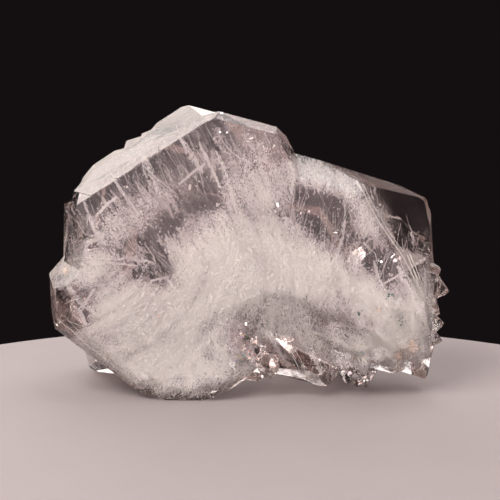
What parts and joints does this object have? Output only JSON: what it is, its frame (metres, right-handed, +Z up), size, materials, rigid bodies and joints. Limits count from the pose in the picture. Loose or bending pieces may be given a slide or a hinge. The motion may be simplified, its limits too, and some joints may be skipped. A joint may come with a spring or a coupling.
{
  "type": "faden quartz",
  "caption": "Clear, flattened quartz crystals grown side by side in one broad plate along a milky healed thread, with small crystals round the rim, leaning back on its worn tips.",
  "frame": {"origin": "under the middle of the cluster's overall box, on the surface that it rests on", "axes": "+X along the plate from the left wing to the right shoulder, its longest way; +Z up; the front face looks to -Y and leans back by 12 degrees"},
  "size_m": [0.0908, 0.0322, 0.0631],
  "materials": {
    "quartz": "naturally bright crystal faces, clear with a milky white thread and fine white wisps inside"
  },
  "bodies": {
    "root": {"quartz_cluster": "quartz"}
  },
  "joints": []
}
